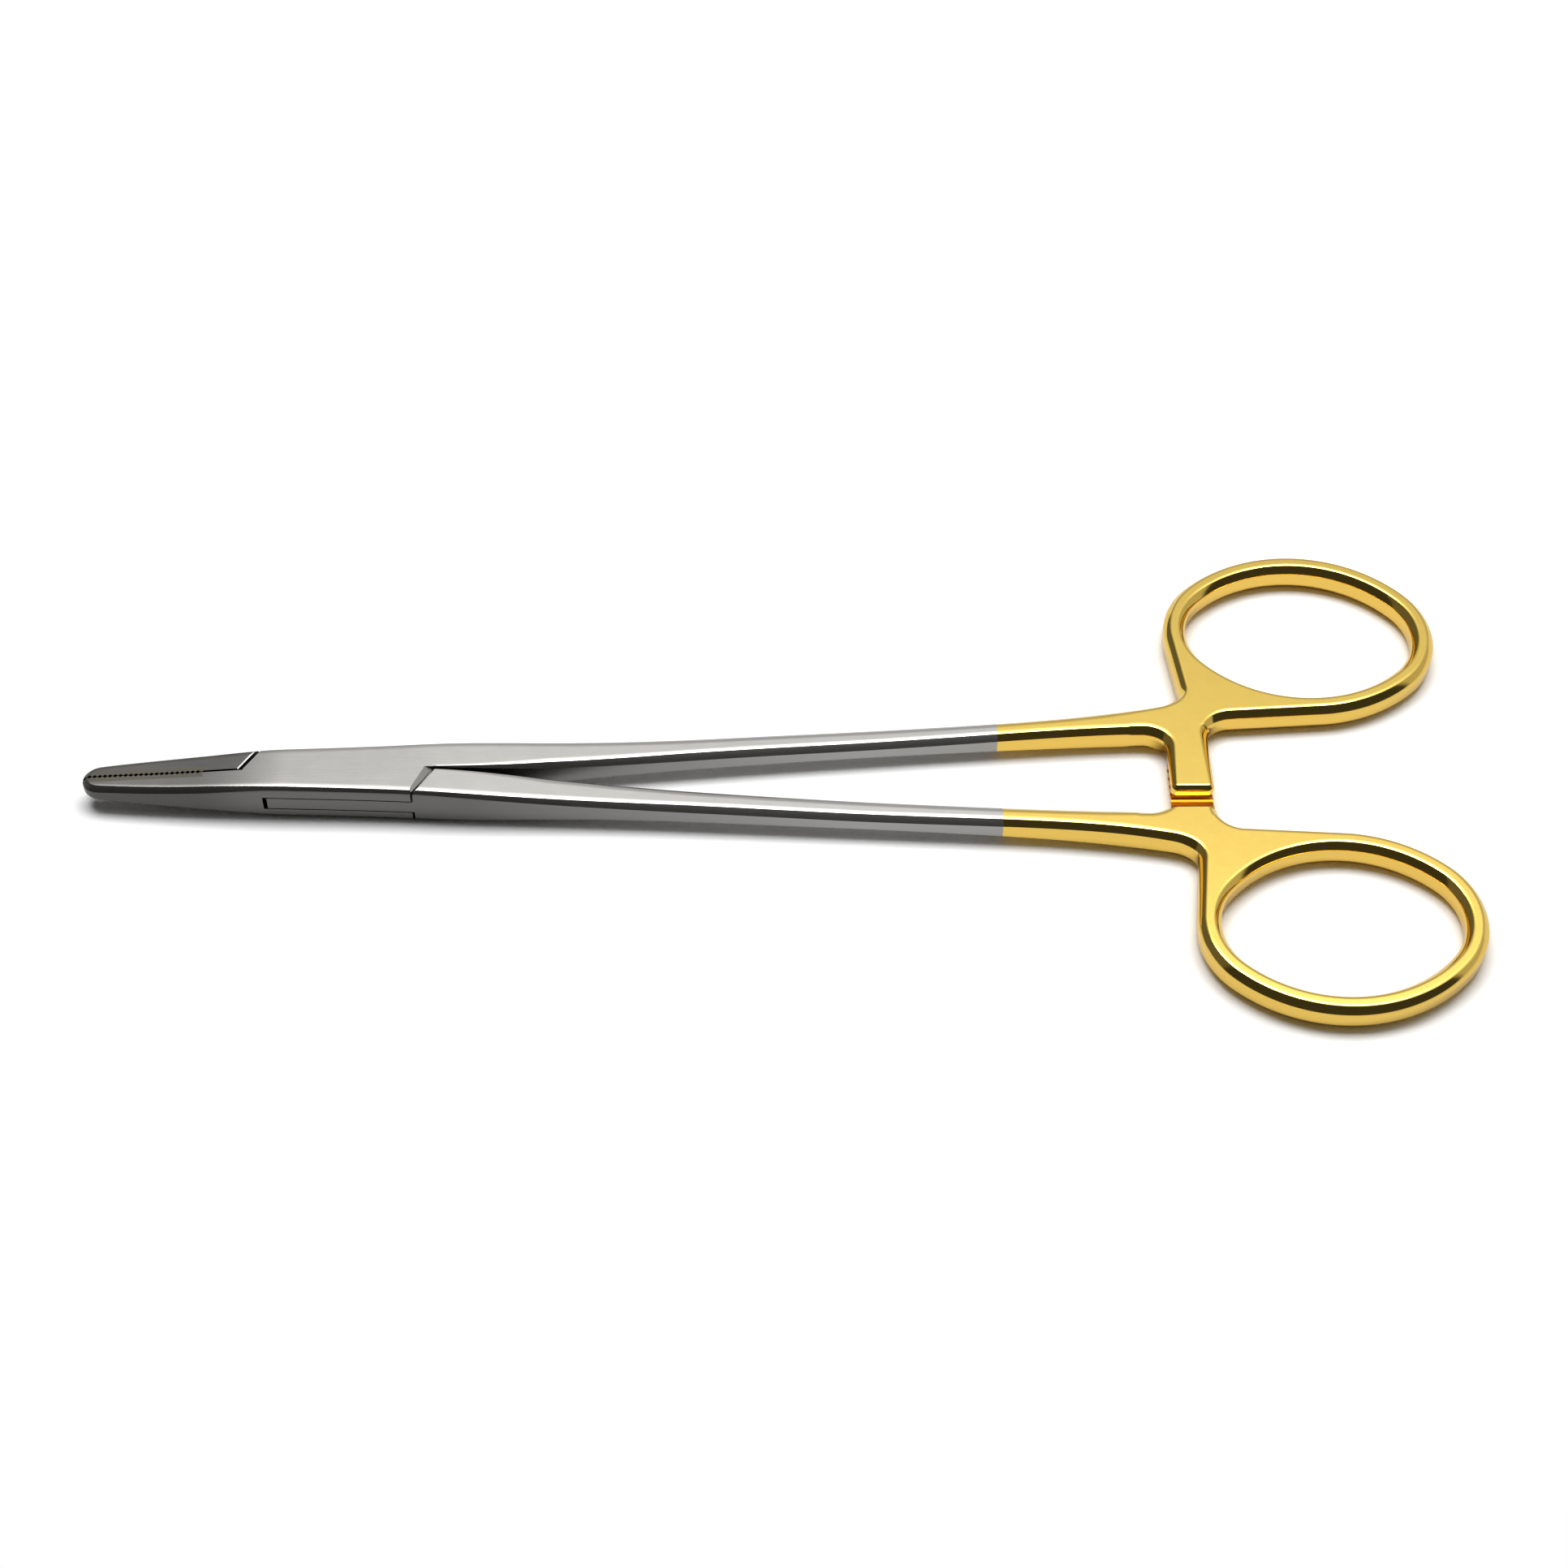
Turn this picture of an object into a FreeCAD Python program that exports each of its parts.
import FreeCAD, Part
import math
import os

# Needle holder with a box lock, lying closed on the table.
# Units are millimetres.  X runs from the jaw tips (minus) to the finger rings
# (plus), Y across the instrument, Z up.  The origin is on the pivot axis, at
# the underside of the box lock.
# Both halves are forged to the same outline.  One carries the box with its
# through slot, the other the tongue that passes through it.  Each half is
# drawn with its handle on the +Y side and its mid plane at z = 0.  The tongue
# half is then turned over about the X axis.

# Driving sizes, read off the photo and scaled to the 160 mm standard length
LOCK_THICKNESS = 5.3
TIP_X = -29.6
RING_FRONT_X = 97.0
RING_INNER_Y = 8.9
RING_HALF_LENGTH = 16.15
RING_HALF_WIDTH = 12.75
RING_END_RADIUS = 10.2
RING_BAR = 2.65
RING_HEIGHT = 3.7
RING_TILT_DEG = -3.0
EDGE_BEVEL = 0.55

# half width of the closed jaws and of the lock, as the first curve poles (x, y)
FRONT_WALL = ((-27.6, 1.95), (-14.7, 3.3))
# walls of a handle shank, from the lock to the ratchet arm, as curve poles (x, y)
CROTCH_HALF_GAP = 0.15
INNER_WALL = ((11.0, CROTCH_HALF_GAP), (27.4, CROTCH_HALF_GAP), (43.8, 4.08), (60.2, 2.86),
              (76.6, 5.64), (93.0, 5.85))
OUTER_WALL = ((11.0, 3.98), (27.8, 5.15), (44.7, 4.6), (61.5, 8.53), (78.4, 6.33), (95.2, 10.15))
# half height of the steel along the instrument, as curve poles (x, z); the first and
# last heights of a row meet the flats of the lock and of the rings
JAW_RISE = ((-30.6, 0.95), (-24.5, 1.55), (-18.3, 1.4))
LOCK_FLAT_FRONT_X = -6.0
LOCK_FLAT_REAR_X = 9.0
SHANK_LOW_X = 60.0
SHANK_LOW_Z = 1.34
SHANK_DIP = ((29.4, 0.83), (39.6, 1.81))
RING_FLAT_X = 99.0

# box lock
SLOT_HEIGHT = 2.0
TONGUE_HEIGHT = 1.86
SLOT_RADIUS = 9.1
TONGUE_RADIUS = 8.65
FRONT_DIAGONAL = ((-10.9, 0.0), (-8.6, 3.4))
REAR_DIAGONAL = ((10.9, CROTCH_HALF_GAP), (8.6, -3.75))
FRONT_DIAGONAL_GAP = 0.42
REAR_DIAGONAL_GAP = 0.2
# bevels ground on the edges along the diagonals, as widths along X, and how steeply they fall
COVER_FACET_AT_CROTCH = 0.9
COVER_FACET_AT_WALL = 0.3
SHOULDER_FACET = 0.25
JAW_FACET = 0.35
FACET_FALL = 0.7
FACET_OVERRUN = 0.8
PIN_DIAMETER = 3.2
PIN_CLEARANCE = 0.03

# jaws and their hard-metal inserts
JAW_HALF_GAP = 0.12
INSERT_REAR_X = -15.5
INSERT_DEPTH = 0.75
INSERT_HALF_GAP = 0.03
SERRATION_PITCH = 0.6
SERRATION_DEPTH = 0.2
SERRATION_LAND = 0.1

# ratchet
ARM_LEFT_X = 95.8
ARM_RIGHT_X = 100.7
ARM_END_Y = -2.9
ARM_ROOT_Y = 5.7
ARM_CORNER = 1.0
TOOTH_PITCH = 1.2
TOOTH_HEIGHT = 0.45
TOOTH_COUNT = 5
TOOTH_CREST_GAP = 0.08

# neck between shank, arm and ring
NECK_LEFT = (98.0, 12.9)
NECK_RIGHT = (103.6, 8.22)
ARM_FILLET_RIGHT = 3.0
ARM_FILLET_LEFT = 2.2

# Derived sizes
FLAT = 0.001
TURN_GRIP = 0.39
WALL_LEAN = 0.5
RING_CENTRE_X = RING_FRONT_X + RING_HALF_LENGTH
RING_CENTRE_Y = RING_INNER_Y + RING_HALF_WIDTH
NECK_END_X = RING_CENTRE_X - RING_HALF_LENGTH / 4
SHANK_END_X = INNER_WALL[-1][0]
TOOTH_ROOT = TOOTH_CREST_GAP + TOOTH_HEIGHT
MID_Z = LOCK_THICKNESS / 2
REACH = 2 * LOCK_THICKNESS
FAR_X = RING_CENTRE_X + RING_HALF_LENGTH + REACH
FAR_Y = RING_CENTRE_Y + RING_HALF_WIDTH + REACH


def vec(x, y, z=0.0):
    """A point or direction."""
    return FreeCAD.Vector(x, y, z)


def curve(points):
    """A smooth single-span curve drawn by its poles."""
    shape = Part.BezierCurve()
    shape.setPoles([vec(*p) for p in points])
    return shape.toShape()


def blend(a, along_a, b, along_b):
    """A rounded turn from point a to point b that leaves and arrives in given directions."""
    grip = (vec(*b) - vec(*a)).Length * TURN_GRIP
    return curve([vec(*a), vec(*a) + along_a * grip, vec(*b) - along_b * grip, vec(*b)])


def slope(a, b):
    """Unit direction from plan point a to plan point b."""
    d = vec(*b) - vec(*a)
    d.normalize()
    return d


def line(a, b):
    """Straight edge between two plan points."""
    return Part.makeLine(vec(*a), vec(*b))


def prism(edges, bottom, top):
    """Solid between two heights over a closed plan outline."""
    face = Part.Face(Part.Wire(Part.__sortEdges__(edges)))
    face.translate(vec(0, 0, bottom))
    return face.extrude(vec(0, 0, top - bottom))


def polygon(points, bottom, top):
    """Solid between two heights over a plan polygon."""
    ends = list(points[1:]) + [points[0]]
    return prism([line(a, b) for a, b in zip(points, ends)], bottom, top)


def slab(x0, x1, y0, y1, z0, z1):
    """Box between two corners."""
    return Part.makeBox(x1 - x0, y1 - y0, z1 - z0, vec(x0, y0, z0))


def ring_place(u, v):
    """Plan point from a place along and across the tilted ring."""
    tilt = math.radians(RING_TILT_DEG)
    x = RING_CENTRE_X + u * math.cos(tilt) - v * math.sin(tilt)
    y = RING_CENTRE_Y + u * math.sin(tilt) + v * math.cos(tilt)
    return vec(x, y)


def ring_arcs():
    """Centres and outer radii of the ring's four arcs, and the angle where they meet.

    The oval has an arc on each end and a flatter one on each side.
    """
    a = RING_HALF_LENGTH
    b = RING_HALF_WIDTH
    r = RING_END_RADIUS
    side = ((a - r) ** 2 + b * b - r * r) / (2 * (b - r))
    meet = math.atan2(side - b, a - r)
    return side, meet


def arc(centre, radius, first, last):
    """Arc about a plan centre between two angles in degrees."""
    return Part.makeCircle(radius, centre, vec(0, 0, 1), first, last)


def touch_angle(point, centre, radius, side):
    """Angle in degrees where a line from an outside point touches a circle."""
    d = point - centre
    return math.degrees(math.atan2(d.y, d.x) + side * math.acos(radius / d.Length))


def on_circle(centre, radius, angle):
    """Point of a circle at an angle in degrees."""
    turn = math.radians(angle)
    return centre + vec(radius * math.cos(turn), radius * math.sin(turn))


def ring_hole():
    """Edges of the finger hole."""
    side, meet = ring_arcs()
    a = RING_HALF_LENGTH - RING_END_RADIUS
    b = side - RING_HALF_WIDTH
    corner = math.degrees(meet)
    tilt = RING_TILT_DEG
    end = RING_END_RADIUS - RING_BAR
    flat = side - RING_BAR
    return [arc(ring_place(a, 0), end, tilt - corner, tilt + corner),
            arc(ring_place(0, -b), flat, tilt + corner, tilt + 180 - corner),
            arc(ring_place(-a, 0), end, tilt + 180 - corner, tilt + 180 + corner),
            arc(ring_place(0, b), flat, tilt + 180 + corner, tilt + 360 - corner)]


def ring_outside():
    """Edges round the outside of the ring with the two straight neck lines.

    They run from the foot of the arm, round the ring and back to the shank.
    """
    side, meet = ring_arcs()
    a = RING_HALF_LENGTH - RING_END_RADIUS
    b = side - RING_HALF_WIDTH
    corner = math.degrees(meet)
    tilt = RING_TILT_DEG
    near = ring_place(0, b)
    left = ring_place(-a, 0)
    first = touch_angle(vec(*NECK_RIGHT), near, side, 1)
    last = touch_angle(vec(*NECK_LEFT), left, RING_END_RADIUS, -1) % 360
    touch_near = on_circle(near, side, first)
    touch_left = on_circle(left, RING_END_RADIUS, last)
    edges = [line(NECK_RIGHT, touch_near),
             arc(near, side, first % 360, tilt + 360 - corner),
             arc(ring_place(a, 0), RING_END_RADIUS, tilt - corner, tilt + corner),
             arc(ring_place(0, -b), side, tilt + corner, tilt + 180 - corner),
             arc(left, RING_END_RADIUS, tilt + 180 - corner, last),
             line(touch_left, NECK_LEFT)]
    return edges, slope(NECK_RIGHT, touch_near), slope(touch_left, NECK_LEFT)


def mirror(points):
    """Plan points carried to the other side of the instrument's axis."""
    return [(x, -y) for x, y in points]


def outline():
    """Closed plan outline of one half with its front drawn to both sides."""
    ring, web, down_neck = ring_outside()
    start = FRONT_WALL[0]
    lock = vec(*OUTER_WALL[0])
    last_grip = (lock.x - start[0]) / 3
    front_wall = list(FRONT_WALL) + [lock - slope(lock, OUTER_WALL[1]) * last_grip, lock]
    front_wall = [(p[0], p[1]) for p in front_wall]
    back = slope(FRONT_WALL[1], start)
    ahead = vec(-back.x, back.y)
    nose = (TIP_X, 0.0)
    near = mirror(front_wall)
    tip = [blend(start, back, nose, vec(0, -1)), blend(nose, vec(0, -1), near[0], ahead)]
    walls = [curve(front_wall), curve(near), curve(INNER_WALL), curve(OUTER_WALL)]
    helper = line(near[-1], INNER_WALL[0])
    shank_end = INNER_WALL[-1]
    along_inner = slope(INNER_WALL[-2], shank_end)
    left_top = (ARM_LEFT_X, shank_end[1] - ARM_FILLET_LEFT)
    left_low = (ARM_LEFT_X, ARM_END_Y + ARM_CORNER)
    end_left = (ARM_LEFT_X + ARM_CORNER, ARM_END_Y)
    end_right = (ARM_RIGHT_X - ARM_CORNER, ARM_END_Y)
    right_low = (ARM_RIGHT_X, ARM_END_Y + ARM_CORNER)
    right_top = (ARM_RIGHT_X, NECK_RIGHT[1] - ARM_FILLET_RIGHT)
    arm = [blend(shank_end, along_inner, left_top, vec(0, -1)),
           line(left_top, left_low),
           blend(left_low, vec(0, -1), end_left, vec(1, 0)),
           line(end_left, end_right),
           blend(end_right, vec(1, 0), right_low, vec(0, 1)),
           line(right_low, right_top),
           blend(right_top, vec(0, 1), NECK_RIGHT, web)]
    along_outer = slope(OUTER_WALL[-1], OUTER_WALL[-2])
    neck = blend(NECK_LEFT, down_neck, OUTER_WALL[-1], along_outer)
    return tip + walls + [helper] + arm + ring + [neck]


def height_edges(sign):
    """Top (sign 1) or bottom (sign -1) line of the side view."""
    ring_z = RING_HEIGHT / 2
    jaw_run = LOCK_FLAT_FRONT_X - JAW_RISE[-1][0]
    jaw = JAW_RISE + ((LOCK_FLAT_FRONT_X - jaw_run / 2, MID_Z), (LOCK_FLAT_FRONT_X, MID_Z))
    fall_run = (SHANK_LOW_X - LOCK_FLAT_REAR_X) / 5
    fall = ((LOCK_FLAT_REAR_X, MID_Z), (LOCK_FLAT_REAR_X + fall_run, MID_Z), SHANK_DIP[0], SHANK_DIP[1],
            (SHANK_LOW_X - fall_run, SHANK_LOW_Z), (SHANK_LOW_X, SHANK_LOW_Z))
    rise_run = (RING_FLAT_X - SHANK_LOW_X) / 3
    rise = ((SHANK_LOW_X, SHANK_LOW_Z), (SHANK_LOW_X + rise_run, SHANK_LOW_Z),
            (RING_FLAT_X - rise_run, ring_z), (RING_FLAT_X, ring_z))
    rows = [[(x, 0, sign * z) for x, z in row] for row in (jaw, fall, rise)]
    lock_flat = line(rows[0][-1], rows[1][0])
    ring_flat = line(rows[2][-1], (FAR_X, 0, sign * ring_z))
    return [curve(row) for row in rows] + [lock_flat, ring_flat]


def height_profile():
    """Solid whose top and bottom follow the half height of the steel."""
    front_x, front_z = JAW_RISE[0]
    ring_z = RING_HEIGHT / 2
    ends = [line((front_x, 0, front_z), (front_x, 0, -front_z)),
            line((FAR_X, 0, ring_z), (FAR_X, 0, -ring_z))]
    edges = height_edges(1) + height_edges(-1) + ends
    face = Part.Face(Part.Wire(Part.__sortEdges__(edges)))
    face.translate(vec(0, -REACH, 0))
    return face.extrude(vec(0, FAR_Y + REACH, 0))


def half_height(x):
    """Half height of the steel at a place along the instrument."""
    upright = line((x, 0, 0), (x, 0, REACH))
    touching = Part.Compound(height_edges(1)).distToShape(upright)[1]
    return touching[0][0].z


def is_cap(face):
    """True for a face that looks up or down rather than sideways."""
    u0, u1, v0, v1 = face.ParameterRange
    return abs(face.normalAt((u0 + u1) / 2, (v0 + v1) / 2).z) > WALL_LEAN


def rim_edges(solid):
    """Edges where a cap face meets a wall face."""
    caps = {}
    walls = {}
    for face in solid.Faces:
        store = caps if is_cap(face) else walls
        for edge in face.Edges:
            store[edge.hashCode()] = edge
    return [edge for code, edge in caps.items() if code in walls]


def bevelled(body, x0, x1):
    """Stretch of a body between two places along X, its rims bevelled and its ends left flat."""
    stretch = body.common(slab(x0, x1, -REACH, FAR_Y, -REACH, REACH))
    rims = []
    for edge in rim_edges(stretch):
        ends_here = min(abs(edge.CenterOfMass.x - x0), abs(edge.CenterOfMass.x - x1)) < FLAT
        if edge.BoundBox.XLength > FLAT or not ends_here:
            rims.append(edge)
    return stretch.makeChamfer(EDGE_BEVEL, rims)


def envelope():
    """One half before the lock, jaws and arm are cut, with all rims bevelled."""
    body = prism(outline(), -REACH, REACH).cut(prism(ring_hole(), -REACH, REACH))
    body = body.common(height_profile())
    front = bevelled(body, TIP_X - REACH, SHANK_LOW_X)
    neck = bevelled(body, SHANK_LOW_X, NECK_END_X)
    ring = bevelled(body, NECK_END_X, FAR_X)
    return front.fuse([neck, ring]).removeSplitter()


def side_region(diagonal, shift, y_side):
    """Corners of the plan area beyond a diagonal of the lock, on one side in Y.

    The diagonal is moved along X by shift and run on past the lock's wall.
    """
    (xa, ya), (xb, yb) = diagonal
    run = (xb - xa) / (yb - ya)
    x_out = xb + run * (y_side - yb)
    far = math.copysign(REACH + FAR_X, xa)
    return [(xa + shift, ya), (x_out + shift, y_side), (far, y_side), (far, ya)]


def edge_facets(ends, into):
    """Tools that bevel the top and bottom edge along a diagonal of the lock.

    Each of the two ends is (x, y, width).  The steel lies on the side of X that
    into points to.
    """
    widest = max(width for _, _, width in ends)
    tools = []
    for up in (1, -1):
        tops = [vec(x + into * width, y, up * half_height(x + into * width)) for x, y, width in ends]
        rise = vec(into, 0, up * FACET_FALL) * widest
        corners = [tops[0] + rise, tops[0] - rise * 2, tops[1] - rise * 2, tops[1] + rise]
        face = Part.Face(Part.makePolygon(corners + corners[:1]))
        tools.append(face.extrude(vec(0, 0, up * REACH)))
    return tools


def beyond(a, b, y):
    """Place along X where the line through plan points a and b reaches a place across."""
    return a[0] + (b[0] - a[0]) * (y - a[1]) / (b[1] - a[1])


def ratchet_space():
    """Space under the ratchet arm, with the arm's teeth left standing in it.

    Each tooth rises gently towards the ring and drops off steeply.
    """
    profile = [(ARM_END_Y - REACH, TOOTH_ROOT), (ARM_END_Y, TOOTH_ROOT)]
    for i in range(TOOTH_COUNT):
        drop_y = ARM_END_Y + (i + 1) * TOOTH_PITCH
        profile += [(drop_y, TOOTH_CREST_GAP), (drop_y, TOOTH_ROOT)]
    profile += [(ARM_ROOT_Y, TOOTH_ROOT), (ARM_ROOT_Y, -REACH), (ARM_END_Y - REACH, -REACH)]
    corners = [vec(SHANK_END_X, y, z) for y, z in profile]
    face = Part.Face(Part.makePolygon(corners + corners[:1]))
    return face.extrude(vec(NECK_RIGHT[0] - SHANK_END_X, 0, 0))


def insert_region():
    """Space of one jaw insert behind its working face, with the grooves cut."""
    top = MID_Z + REACH
    block = slab(TIP_X - REACH, INSERT_REAR_X, -INSERT_DEPTH, -INSERT_HALF_GAP, -top, top)
    grooves = []
    x = INSERT_REAR_X - SERRATION_PITCH
    bottom = -INSERT_HALF_GAP - SERRATION_DEPTH
    while x > TIP_X:
        half = (SERRATION_PITCH - SERRATION_LAND) / 2
        corners = [(x - half, 0.0), (x, bottom), (x + half, 0.0)]
        grooves.append(polygon(corners, -top, top))
        x = x - SERRATION_PITCH
    return block.cut(grooves)


def half_body():
    """Envelope of one half with its arm thinned and toothed and its jaw relieved."""
    body = envelope().cut(ratchet_space())
    relief = slab(TIP_X - REACH, INSERT_REAR_X, -INSERT_DEPTH, REACH, -REACH, REACH)
    return body.cut(relief).removeSplitter()


def box_half():
    """Half that carries the box: near jaw, slotted lock, far handle."""
    body = half_body()
    wide = REACH
    front = polygon(side_region(FRONT_DIAGONAL, 0.0, wide), -wide, wide)
    mate = slab(TIP_X - wide, FRONT_DIAGONAL[0][0], -JAW_HALF_GAP, wide, -wide, wide)
    crotch, wall = REAR_DIAGONAL
    end = crotch[0] + REACH
    rear = polygon([crotch, (beyond(crotch, wall, -wide), -wide), (end, -wide), (end, crotch[1])],
                   -wide, wide)
    past = wall[1] - FACET_OVERRUN
    narrow = beyond((COVER_FACET_AT_CROTCH, crotch[1]), (COVER_FACET_AT_WALL, wall[1]), past)
    facet_ends = [(crotch[0], crotch[1], COVER_FACET_AT_CROTCH), (beyond(crotch, wall, past), past, narrow)]
    facets = edge_facets(facet_ends, -1)
    half_slot = SLOT_HEIGHT / 2
    disc = Part.makeCylinder(SLOT_RADIUS, SLOT_HEIGHT, vec(0, 0, -half_slot))
    quarter_a = slab(-REACH - wide, 0, -JAW_HALF_GAP, wide, -half_slot, half_slot)
    quarter_b = slab(0, REACH + wide, -wide, CROTCH_HALF_GAP, -half_slot, half_slot)
    bore = Part.makeCylinder(PIN_DIAMETER / 2, LOCK_THICKNESS, vec(0, 0, -MID_Z))
    body = body.cut([front, mate, rear, disc, quarter_a, quarter_b, bore] + facets)
    body.translate(vec(0, 0, MID_Z))
    return body


def tongue_half():
    """Half that carries the tongue: far jaw, thin tongue, near handle."""
    wide = REACH
    (xf, yf), (xg, yg) = FRONT_DIAGONAL
    jaw_edge = ((xf, -yf), (xg, -yg))
    jaw = polygon(side_region(jaw_edge, -FRONT_DIAGONAL_GAP, -wide), -wide, wide)
    (xr, yr), (xs, ys) = REAR_DIAGONAL
    shoulder = ((xr + REAR_DIAGONAL_GAP, 0.0), (xs + REAR_DIAGONAL_GAP, yr - ys))
    shank = polygon([(beyond(*shoulder, -wide), -wide), (beyond(*shoulder, wide), wide),
                     (beyond(*shoulder, wide), FAR_Y), (FAR_X, FAR_Y), (FAR_X, -wide)],
                    -wide, wide)
    spans = ((jaw_edge, -FRONT_DIAGONAL_GAP, -1, JAW_FACET), (shoulder, 0.0, 1, SHOULDER_FACET))
    facets = []
    for edge, shift, into, width in spans:
        (_, near), (_, out) = edge
        side = math.copysign(FACET_OVERRUN, out)
        facet_ends = [(beyond(*edge, y) + shift, y, width) for y in (near - side, out + side)]
        facets += edge_facets(facet_ends, into)
    half = TONGUE_HEIGHT / 2
    disc = Part.makeCylinder(TONGUE_RADIUS, TONGUE_HEIGHT, vec(0, 0, -half))
    quarter_a = slab(-wide - REACH, 0, -wide, -JAW_HALF_GAP, -half, half)
    quarter_b = slab(0, REACH + wide, CROTCH_HALF_GAP, wide, -half, half)
    keep = jaw.fuse([shank, disc, quarter_a, quarter_b])
    body = half_body().common(keep)
    gap = slab(TIP_X - wide, xf - FRONT_DIAGONAL_GAP, -JAW_HALF_GAP, wide, -wide, wide)
    radius = PIN_DIAMETER / 2 + PIN_CLEARANCE
    bore = Part.makeCylinder(radius, LOCK_THICKNESS, vec(0, 0, -MID_Z))
    body = body.cut([gap, bore] + facets)
    body.rotate(vec(0, 0, 0), vec(1, 0, 0), 180)
    body.translate(vec(0, 0, MID_Z))
    return body


def jaw_insert(turned):
    """Serrated insert of one jaw, turned over for the tongue half."""
    body = envelope().common(insert_region())
    if turned:
        body.rotate(vec(0, 0, 0), vec(1, 0, 0), 180)
    body.translate(vec(0, 0, MID_Z))
    return body


def main():
    """Build every piece and write one file for each."""
    os.makedirs("parts", exist_ok=True)
    pieces = {
        "box_half": box_half(),
        "tongue_half": tongue_half(),
        "pivot_pin": Part.makeCylinder(PIN_DIAMETER / 2, LOCK_THICKNESS),
        "box_jaw_insert": jaw_insert(False),
        "tongue_jaw_insert": jaw_insert(True),
    }
    for name, shape in pieces.items():
        print(name, shape.isValid(), len(shape.Solids), round(shape.Volume, 2), shape.BoundBox)
        shape.exportStep("parts/" + name + ".step")


main()
